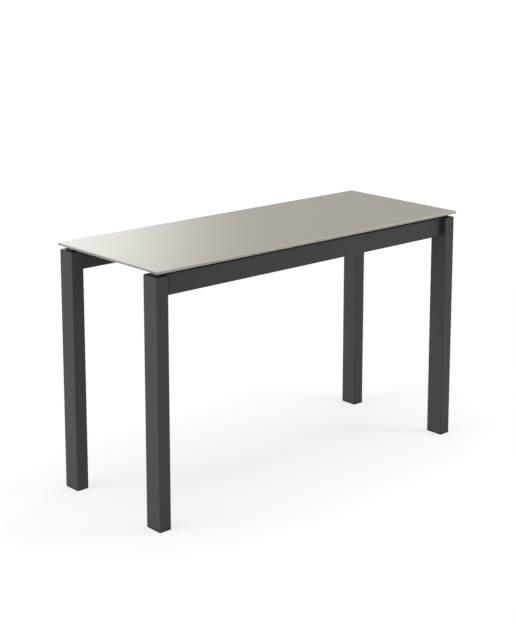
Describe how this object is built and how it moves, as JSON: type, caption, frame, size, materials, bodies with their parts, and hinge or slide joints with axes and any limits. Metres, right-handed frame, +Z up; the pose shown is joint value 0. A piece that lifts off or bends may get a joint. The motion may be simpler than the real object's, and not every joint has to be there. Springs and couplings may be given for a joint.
{
  "type": "extending table",
  "caption": "Narrow table with a painted glass top on rectangular tube legs, whose glass leaves are stored under the top and draw out of its short ends on telescopic slides.",
  "frame": {"origin": "on the floor, under the middle of the top", "axes": "+X along the length of the top, +Y across its width, +Z up"},
  "size_m": [1.2, 0.47, 0.74],
  "materials": {
    "painted_glass": "toughened glass, back painted warm grey, satin gloss face, polished edges",
    "anthracite_steel": "fine texture powder coat, anthracite grey",
    "anthracite_plastic": "moulded, fine spark texture, anthracite grey",
    "black_plastic": "moulded, fine spark texture",
    "black_casting": "die cast, black powder coat",
    "black_screws": "black oxide",
    "adhesive": "foam bonding tape",
    "stop_rubber": "matt rubber",
    "slide_steel": "bright zinc plated, drawn",
    "rail_aluminium": "extruded, dark grey anodised",
    "zinc_fasteners": "zinc plated"
  },
  "bodies": {
    "frame": {"apron_connector_front_left": "black_casting", "apron_connector_front_right": "black_casting", "apron_connector_rear_left": "black_casting", "apron_connector_rear_right": "black_casting", "apron_front": "anthracite_steel", "apron_rear": "anthracite_steel", "connector_bolts": "black_screws", "cross_rail_centre": "anthracite_steel", "cross_rail_left": "anthracite_steel", "cross_rail_right": "anthracite_steel", "foot_plug_front_left": "black_plastic", "foot_plug_front_right": "black_plastic", "foot_plug_rear_left": "black_plastic", "foot_plug_rear_right": "black_plastic", "glass_adhesive_pads": "adhesive", "leaf_stops": "stop_rubber", "left_front_slide_outer": "slide_steel", "left_rear_slide_outer": "slide_steel", "leg_cap_front_left": "anthracite_plastic", "leg_cap_front_right": "anthracite_plastic", "leg_cap_rear_left": "anthracite_plastic", "leg_cap_rear_right": "anthracite_plastic", "leg_front_left": "anthracite_steel", "leg_front_right": "anthracite_steel", "leg_nut_plates": "zinc_fasteners", "leg_rear_left": "anthracite_steel", "leg_rear_right": "anthracite_steel", "rail_screws": "zinc_fasteners", "right_front_slide_outer": "slide_steel", "right_rear_slide_outer": "slide_steel", "slide_rail_front": "rail_aluminium", "slide_rail_rear": "rail_aluminium", "slide_screws": "zinc_fasteners", "tongue_screws": "black_screws", "top_glass": "painted_glass"},
    "left_leaf": {"left_bearer_screws": "zinc_fasteners", "left_front_leaf_bearer": "rail_aluminium", "left_front_slide_inner": "slide_steel", "left_leaf_adhesive": "adhesive", "left_leaf_glass": "painted_glass", "left_leaf_tie_bar": "rail_aluminium", "left_rear_leaf_bearer": "rail_aluminium", "left_rear_slide_inner": "slide_steel"},
    "left_slide_middles": {"left_front_slide_middle": "slide_steel", "left_rear_slide_middle": "slide_steel"},
    "right_leaf": {"right_bearer_screws": "zinc_fasteners", "right_front_leaf_bearer": "rail_aluminium", "right_front_slide_inner": "slide_steel", "right_leaf_adhesive": "adhesive", "right_leaf_glass": "painted_glass", "right_leaf_tie_bar": "rail_aluminium", "right_rear_leaf_bearer": "rail_aluminium", "right_rear_slide_inner": "slide_steel"},
    "right_slide_middles": {"right_front_slide_middle": "slide_steel", "right_rear_slide_middle": "slide_steel"}
  },
  "joints": [
    {"name": "left_leaf_draw", "type": "slide", "parent": "frame", "child": "left_leaf", "axis": [-1, 0, 0], "range_m": [0, 0.34]},
    {"name": "left_middles_draw", "type": "slide", "parent": "frame", "child": "left_slide_middles", "axis": [-1, 0, 0], "range_m": [0, 0.17]},
    {"name": "right_leaf_draw", "type": "slide", "parent": "frame", "child": "right_leaf", "axis": [1, 0, 0], "range_m": [0, 0.34]},
    {"name": "right_middles_draw", "type": "slide", "parent": "frame", "child": "right_slide_middles", "axis": [1, 0, 0], "range_m": [0, 0.17]}
  ],
  "couplings": [
    {"joint": "left_middles_draw", "follows": "left_leaf_draw", "ratio": 0.5},
    {"joint": "right_middles_draw", "follows": "right_leaf_draw", "ratio": 0.5}
  ]
}
